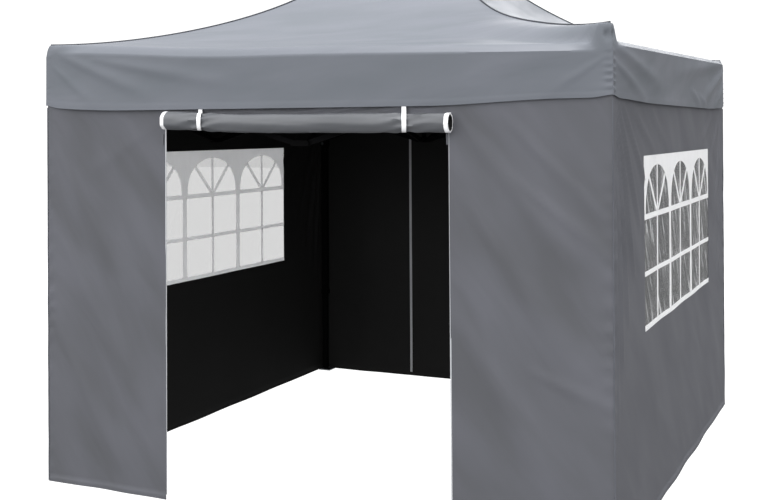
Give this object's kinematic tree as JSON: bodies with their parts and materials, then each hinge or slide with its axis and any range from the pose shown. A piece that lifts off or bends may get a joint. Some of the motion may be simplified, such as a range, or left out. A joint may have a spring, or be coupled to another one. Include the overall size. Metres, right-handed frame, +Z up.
{
  "type": "pop up gazebo",
  "caption": "Square pop-up gazebo: folding scissor frame on telescopic legs, peaked grey canopy with valance, window walls, zipped back door and a doorway with its door rolled up.",
  "frame": {"origin": "on the ground in the middle of the gazebo", "axes": "+Z up, the doorway faces -Y, +X to the right seen from outside the doorway"},
  "size_m": [3, 3.047, 3.23],
  "materials": {
    "cover_cloth": "coated woven polyester, slight sheen",
    "window_pvc": "clear PVC with white printed glazing bars",
    "black_steel": "satin black powder coat",
    "black_nylon": "moulded, matt",
    "latch_steel": "bright zinc plate",
    "white_zip": "moulded, smooth"
  },
  "bodies": {
    "cover": {"canopy": "cover_cloth", "front_wall": "cover_cloth", "door_roll": "cover_cloth", "right_wall": "cover_cloth", "back_wall": "cover_cloth", "left_wall": "cover_cloth", "right_window": "window_pvc", "left_window": "window_pvc", "upper_hub": "black_nylon"},
    "mast": {"mast": "black_steel"},
    "front_cross_top_bar": {"front_cross_top_bar": "black_steel"},
    "right_cross_top_bar": {"right_cross_top_bar": "black_steel"},
    "back_cross_top_bar": {"back_cross_top_bar": "black_steel"},
    "left_cross_top_bar": {"left_cross_top_bar": "black_steel"},
    "front_cross_low_bar": {"front_cross_low_bar": "black_steel"},
    "right_cross_low_bar": {"right_cross_low_bar": "black_steel"},
    "back_cross_low_bar": {"back_cross_low_bar": "black_steel"},
    "left_cross_low_bar": {"left_cross_low_bar": "black_steel"},
    "front_upper_joint": {"front_upper_joint": "black_nylon"},
    "right_upper_joint": {"right_upper_joint": "black_nylon"},
    "back_upper_joint": {"back_upper_joint": "black_nylon"},
    "left_upper_joint": {"left_upper_joint": "black_nylon"},
    "front_lower_joint": {"front_lower_joint": "black_nylon"},
    "right_lower_joint": {"right_lower_joint": "black_nylon"},
    "back_lower_joint": {"back_lower_joint": "black_nylon"},
    "left_lower_joint": {"left_lower_joint": "black_nylon"},
    "front_left_slider_bar": {"front_left_slider_bar": "black_steel"},
    "front_right_slider_bar": {"front_right_slider_bar": "black_steel"},
    "right_left_slider_bar": {"right_left_slider_bar": "black_steel"},
    "right_right_slider_bar": {"right_right_slider_bar": "black_steel"},
    "back_left_slider_bar": {"back_left_slider_bar": "black_steel"},
    "back_right_slider_bar": {"back_right_slider_bar": "black_steel"},
    "left_left_slider_bar": {"left_left_slider_bar": "black_steel"},
    "left_right_slider_bar": {"left_right_slider_bar": "black_steel"},
    "front_left_top_bar": {"front_left_top_bar": "black_steel"},
    "front_right_top_bar": {"front_right_top_bar": "black_steel"},
    "right_left_top_bar": {"right_left_top_bar": "black_steel"},
    "right_right_top_bar": {"right_right_top_bar": "black_steel"},
    "back_left_top_bar": {"back_left_top_bar": "black_steel"},
    "back_right_top_bar": {"back_right_top_bar": "black_steel"},
    "left_left_top_bar": {"left_left_top_bar": "black_steel"},
    "left_right_top_bar": {"left_right_top_bar": "black_steel"},
    "front_left_leg": {"front_left_leg": "black_steel"},
    "front_right_leg": {"front_right_leg": "black_steel"},
    "back_right_leg": {"back_right_leg": "black_steel"},
    "back_left_leg": {"back_left_leg": "black_steel"},
    "front_left_slider": {"front_left_slider": "black_nylon"},
    "front_right_slider": {"front_right_slider": "black_nylon"},
    "back_right_slider": {"back_right_slider": "black_nylon"},
    "back_left_slider": {"back_left_slider": "black_nylon"},
    "front_left_inner_leg": {"front_left_inner_leg": "black_steel"},
    "front_right_inner_leg": {"front_right_inner_leg": "black_steel"},
    "back_right_inner_leg": {"back_right_inner_leg": "black_steel"},
    "back_left_inner_leg": {"back_left_inner_leg": "black_steel"},
    "front_left_latch": {"front_left_latch": "latch_steel"},
    "front_right_latch": {"front_right_latch": "latch_steel"},
    "back_right_latch": {"back_right_latch": "latch_steel"},
    "back_left_latch": {"back_left_latch": "latch_steel"},
    "front_zip_pulls": {"front_zip_pulls": "white_zip"},
    "back_zip_pulls": {"back_zip_pulls": "white_zip"}
  },
  "joints": [
    {"name": "fold", "type": "hinge", "parent": "cover", "child": "front_cross_top_bar", "pos_m": [0, -0.04, 2.165], "axis": [1, 0, 0], "range_deg": [0, 69]},
    {"name": "front_cross_low_turn", "type": "hinge", "parent": "front_cross_top_bar", "child": "front_cross_low_bar", "pos_m": [0, -0.731, 1.96032], "axis": [1, 0, 0], "range_deg": [-140, 0]},
    {"name": "front_upper_joint_turn", "type": "hinge", "parent": "front_cross_low_bar", "child": "front_upper_joint", "pos_m": [0, -1.422, 2.165], "axis": [1, 0, 0], "range_deg": [0, 70]},
    {"name": "front_lower_joint_turn", "type": "hinge", "parent": "front_cross_top_bar", "child": "front_lower_joint", "pos_m": [0, -1.422, 1.75563], "axis": [1, 0, 0], "range_deg": [-70, 0]},
    {"name": "mast_turn", "type": "hinge", "parent": "front_cross_low_bar", "child": "mast", "pos_m": [0, -0.04, 1.75563], "axis": [1, 0, 0], "range_deg": [0, 70]},
    {"name": "front_left_slider_bar_turn", "type": "hinge", "parent": "front_upper_joint", "child": "front_left_slider_bar", "pos_m": [-0.035, -1.462, 2.165], "axis": [0, 1, 0], "range_deg": [-70, 0]},
    {"name": "front_left_top_bar_turn", "type": "hinge", "parent": "front_left_slider_bar", "child": "front_left_top_bar", "pos_m": [-0.726, -1.462, 1.96032], "axis": [0, 1, 0], "range_deg": [0, 140]},
    {"name": "front_right_slider_bar_turn", "type": "hinge", "parent": "front_upper_joint", "child": "front_right_slider_bar", "pos_m": [0.035, -1.462, 2.165], "axis": [0, 1, 0], "range_deg": [0, 70]},
    {"name": "front_right_top_bar_turn", "type": "hinge", "parent": "front_right_slider_bar", "child": "front_right_top_bar", "pos_m": [0.726, -1.462, 1.96032], "axis": [0, 1, 0], "range_deg": [-140, 0]},
    {"name": "front_left_leg_turn", "type": "hinge", "parent": "front_left_top_bar", "child": "front_left_leg", "pos_m": [-1.417, -1.462, 2.165], "axis": [0, 1, 0], "range_deg": [-70, 0]},
    {"name": "front_left_slider_turn", "type": "hinge", "parent": "front_left_slider_bar", "child": "front_left_slider", "pos_m": [-1.417, -1.462, 1.75563], "axis": [0, 1, 0], "range_deg": [0, 70]},
    {"name": "right_cross_top_turn", "type": "hinge", "parent": "cover", "child": "right_cross_top_bar", "pos_m": [0.04, 0, 2.165], "axis": [0, 1, 0], "range_deg": [0, 70]},
    {"name": "right_cross_low_turn", "type": "hinge", "parent": "right_cross_top_bar", "child": "right_cross_low_bar", "pos_m": [0.731, 0, 1.96032], "axis": [0, 1, 0], "range_deg": [-140, 0]},
    {"name": "right_upper_joint_turn", "type": "hinge", "parent": "right_cross_low_bar", "child": "right_upper_joint", "pos_m": [1.422, 0, 2.165], "axis": [0, 1, 0], "range_deg": [0, 70]},
    {"name": "right_lower_joint_turn", "type": "hinge", "parent": "right_cross_top_bar", "child": "right_lower_joint", "pos_m": [1.422, 0, 1.75563], "axis": [0, 1, 0], "range_deg": [-70, 0]},
    {"name": "right_left_slider_bar_turn", "type": "hinge", "parent": "right_upper_joint", "child": "right_left_slider_bar", "pos_m": [1.462, -0.035, 2.165], "axis": [-1, 0, 0], "range_deg": [-70, 0]},
    {"name": "right_left_top_bar_turn", "type": "hinge", "parent": "right_left_slider_bar", "child": "right_left_top_bar", "pos_m": [1.462, -0.726, 1.96032], "axis": [-1, 0, 0], "range_deg": [0, 140]},
    {"name": "right_right_slider_bar_turn", "type": "hinge", "parent": "right_upper_joint", "child": "right_right_slider_bar", "pos_m": [1.462, 0.035, 2.165], "axis": [-1, 0, 0], "range_deg": [0, 70]},
    {"name": "right_right_top_bar_turn", "type": "hinge", "parent": "right_right_slider_bar", "child": "right_right_top_bar", "pos_m": [1.462, 0.726, 1.96032], "axis": [-1, 0, 0], "range_deg": [-140, 0]},
    {"name": "front_right_leg_turn", "type": "hinge", "parent": "right_left_top_bar", "child": "front_right_leg", "pos_m": [1.462, -1.417, 2.165], "axis": [-1, 0, 0], "range_deg": [-70, 0]},
    {"name": "front_right_slider_turn", "type": "hinge", "parent": "right_left_slider_bar", "child": "front_right_slider", "pos_m": [1.462, -1.417, 1.75563], "axis": [-1, 0, 0], "range_deg": [0, 70]},
    {"name": "back_cross_top_turn", "type": "hinge", "parent": "cover", "child": "back_cross_top_bar", "pos_m": [0, 0.04, 2.165], "axis": [-1, 0, 0], "range_deg": [0, 70]},
    {"name": "back_cross_low_turn", "type": "hinge", "parent": "back_cross_top_bar", "child": "back_cross_low_bar", "pos_m": [0, 0.731, 1.96032], "axis": [-1, 0, 0], "range_deg": [-140, 0]},
    {"name": "back_upper_joint_turn", "type": "hinge", "parent": "back_cross_low_bar", "child": "back_upper_joint", "pos_m": [0, 1.422, 2.165], "axis": [-1, 0, 0], "range_deg": [0, 70]},
    {"name": "back_lower_joint_turn", "type": "hinge", "parent": "back_cross_top_bar", "child": "back_lower_joint", "pos_m": [0, 1.422, 1.75563], "axis": [-1, 0, 0], "range_deg": [-70, 0]},
    {"name": "back_left_slider_bar_turn", "type": "hinge", "parent": "back_upper_joint", "child": "back_left_slider_bar", "pos_m": [0.035, 1.462, 2.165], "axis": [0, -1, 0], "range_deg": [-70, 0]},
    {"name": "back_left_top_bar_turn", "type": "hinge", "parent": "back_left_slider_bar", "child": "back_left_top_bar", "pos_m": [0.726, 1.462, 1.96032], "axis": [0, -1, 0], "range_deg": [0, 140]},
    {"name": "back_right_slider_bar_turn", "type": "hinge", "parent": "back_upper_joint", "child": "back_right_slider_bar", "pos_m": [-0.035, 1.462, 2.165], "axis": [0, -1, 0], "range_deg": [0, 70]},
    {"name": "back_right_top_bar_turn", "type": "hinge", "parent": "back_right_slider_bar", "child": "back_right_top_bar", "pos_m": [-0.726, 1.462, 1.96032], "axis": [0, -1, 0], "range_deg": [-140, 0]},
    {"name": "back_right_leg_turn", "type": "hinge", "parent": "back_left_top_bar", "child": "back_right_leg", "pos_m": [1.417, 1.462, 2.165], "axis": [0, -1, 0], "range_deg": [-70, 0]},
    {"name": "back_right_slider_turn", "type": "hinge", "parent": "back_left_slider_bar", "child": "back_right_slider", "pos_m": [1.417, 1.462, 1.75563], "axis": [0, -1, 0], "range_deg": [0, 70]},
    {"name": "left_cross_top_turn", "type": "hinge", "parent": "cover", "child": "left_cross_top_bar", "pos_m": [-0.04, 0, 2.165], "axis": [0, -1, 0], "range_deg": [0, 70]},
    {"name": "left_cross_low_turn", "type": "hinge", "parent": "left_cross_top_bar", "child": "left_cross_low_bar", "pos_m": [-0.731, 0, 1.96032], "axis": [0, -1, 0], "range_deg": [-140, 0]},
    {"name": "left_upper_joint_turn", "type": "hinge", "parent": "left_cross_low_bar", "child": "left_upper_joint", "pos_m": [-1.422, 0, 2.165], "axis": [0, -1, 0], "range_deg": [0, 70]},
    {"name": "left_lower_joint_turn", "type": "hinge", "parent": "left_cross_top_bar", "child": "left_lower_joint", "pos_m": [-1.422, 0, 1.75563], "axis": [0, -1, 0], "range_deg": [-70, 0]},
    {"name": "left_left_slider_bar_turn", "type": "hinge", "parent": "left_upper_joint", "child": "left_left_slider_bar", "pos_m": [-1.462, 0.035, 2.165], "axis": [1, 0, 0], "range_deg": [-70, 0]},
    {"name": "left_left_top_bar_turn", "type": "hinge", "parent": "left_left_slider_bar", "child": "left_left_top_bar", "pos_m": [-1.462, 0.726, 1.96032], "axis": [1, 0, 0], "range_deg": [0, 140]},
    {"name": "left_right_slider_bar_turn", "type": "hinge", "parent": "left_upper_joint", "child": "left_right_slider_bar", "pos_m": [-1.462, -0.035, 2.165], "axis": [1, 0, 0], "range_deg": [0, 70]},
    {"name": "left_right_top_bar_turn", "type": "hinge", "parent": "left_right_slider_bar", "child": "left_right_top_bar", "pos_m": [-1.462, -0.726, 1.96032], "axis": [1, 0, 0], "range_deg": [-140, 0]},
    {"name": "back_left_leg_turn", "type": "hinge", "parent": "left_left_top_bar", "child": "back_left_leg", "pos_m": [-1.462, 1.417, 2.165], "axis": [1, 0, 0], "range_deg": [-70, 0]},
    {"name": "back_left_slider_turn", "type": "hinge", "parent": "left_left_slider_bar", "child": "back_left_slider", "pos_m": [-1.462, 1.417, 1.75563], "axis": [1, 0, 0], "range_deg": [0, 70]},
    {"name": "front_left_height", "type": "slide", "parent": "front_left_leg", "child": "front_left_inner_leg", "axis": [0, 0, 1], "range_m": [0, 0.5]},
    {"name": "front_left_latch_pull", "type": "slide", "parent": "front_left_slider", "child": "front_left_latch", "axis": [1, 0, 0], "range_m": [0, 0.008], "stiffness_N_per_m": 300},
    {"name": "front_right_height", "type": "slide", "parent": "front_right_leg", "child": "front_right_inner_leg", "axis": [0, 0, 1], "range_m": [0, 0.5]},
    {"name": "front_right_latch_pull", "type": "slide", "parent": "front_right_slider", "child": "front_right_latch", "axis": [0, 1, 0], "range_m": [0, 0.008], "stiffness_N_per_m": 300},
    {"name": "back_right_height", "type": "slide", "parent": "back_right_leg", "child": "back_right_inner_leg", "axis": [0, 0, 1], "range_m": [0, 0.5]},
    {"name": "back_right_latch_pull", "type": "slide", "parent": "back_right_slider", "child": "back_right_latch", "axis": [-1, 0, 0], "range_m": [0, 0.008], "stiffness_N_per_m": 300},
    {"name": "back_left_height", "type": "slide", "parent": "back_left_leg", "child": "back_left_inner_leg", "axis": [0, 0, 1], "range_m": [0, 0.5]},
    {"name": "back_left_latch_pull", "type": "slide", "parent": "back_left_slider", "child": "back_left_latch", "axis": [0, -1, 0], "range_m": [0, 0.008], "stiffness_N_per_m": 300},
    {"name": "front_zips", "type": "slide", "parent": "cover", "child": "front_zip_pulls", "axis": [0, 0, 1], "range_m": [-1.65, 0]},
    {"name": "back_zips", "type": "slide", "parent": "cover", "child": "back_zip_pulls", "axis": [0, 0, 1], "range_m": [0, 1.75]}
  ],
  "couplings": [
    {"joint": "front_cross_low_turn", "follows": "fold", "ratio": -2},
    {"joint": "front_upper_joint_turn", "follows": "fold", "ratio": 1},
    {"joint": "front_lower_joint_turn", "follows": "fold", "ratio": -1},
    {"joint": "mast_turn", "follows": "fold", "ratio": 1},
    {"joint": "front_left_slider_bar_turn", "follows": "fold", "ratio": -1},
    {"joint": "front_left_top_bar_turn", "follows": "fold", "ratio": 2},
    {"joint": "front_right_slider_bar_turn", "follows": "fold", "ratio": 1},
    {"joint": "front_right_top_bar_turn", "follows": "fold", "ratio": -2},
    {"joint": "front_left_leg_turn", "follows": "fold", "ratio": -1},
    {"joint": "front_left_slider_turn", "follows": "fold", "ratio": 1},
    {"joint": "right_cross_top_turn", "follows": "fold", "ratio": 1},
    {"joint": "right_cross_low_turn", "follows": "fold", "ratio": -2},
    {"joint": "right_upper_joint_turn", "follows": "fold", "ratio": 1},
    {"joint": "right_lower_joint_turn", "follows": "fold", "ratio": -1},
    {"joint": "right_left_slider_bar_turn", "follows": "fold", "ratio": -1},
    {"joint": "right_left_top_bar_turn", "follows": "fold", "ratio": 2},
    {"joint": "right_right_slider_bar_turn", "follows": "fold", "ratio": 1},
    {"joint": "right_right_top_bar_turn", "follows": "fold", "ratio": -2},
    {"joint": "front_right_leg_turn", "follows": "fold", "ratio": -1},
    {"joint": "front_right_slider_turn", "follows": "fold", "ratio": 1},
    {"joint": "back_cross_top_turn", "follows": "fold", "ratio": 1},
    {"joint": "back_cross_low_turn", "follows": "fold", "ratio": -2},
    {"joint": "back_upper_joint_turn", "follows": "fold", "ratio": 1},
    {"joint": "back_lower_joint_turn", "follows": "fold", "ratio": -1},
    {"joint": "back_left_slider_bar_turn", "follows": "fold", "ratio": -1},
    {"joint": "back_left_top_bar_turn", "follows": "fold", "ratio": 2},
    {"joint": "back_right_slider_bar_turn", "follows": "fold", "ratio": 1},
    {"joint": "back_right_top_bar_turn", "follows": "fold", "ratio": -2},
    {"joint": "back_right_leg_turn", "follows": "fold", "ratio": -1},
    {"joint": "back_right_slider_turn", "follows": "fold", "ratio": 1},
    {"joint": "left_cross_top_turn", "follows": "fold", "ratio": 1},
    {"joint": "left_cross_low_turn", "follows": "fold", "ratio": -2},
    {"joint": "left_upper_joint_turn", "follows": "fold", "ratio": 1},
    {"joint": "left_lower_joint_turn", "follows": "fold", "ratio": -1},
    {"joint": "left_left_slider_bar_turn", "follows": "fold", "ratio": -1},
    {"joint": "left_left_top_bar_turn", "follows": "fold", "ratio": 2},
    {"joint": "left_right_slider_bar_turn", "follows": "fold", "ratio": 1},
    {"joint": "left_right_top_bar_turn", "follows": "fold", "ratio": -2},
    {"joint": "back_left_leg_turn", "follows": "fold", "ratio": -1},
    {"joint": "back_left_slider_turn", "follows": "fold", "ratio": 1}
  ]
}
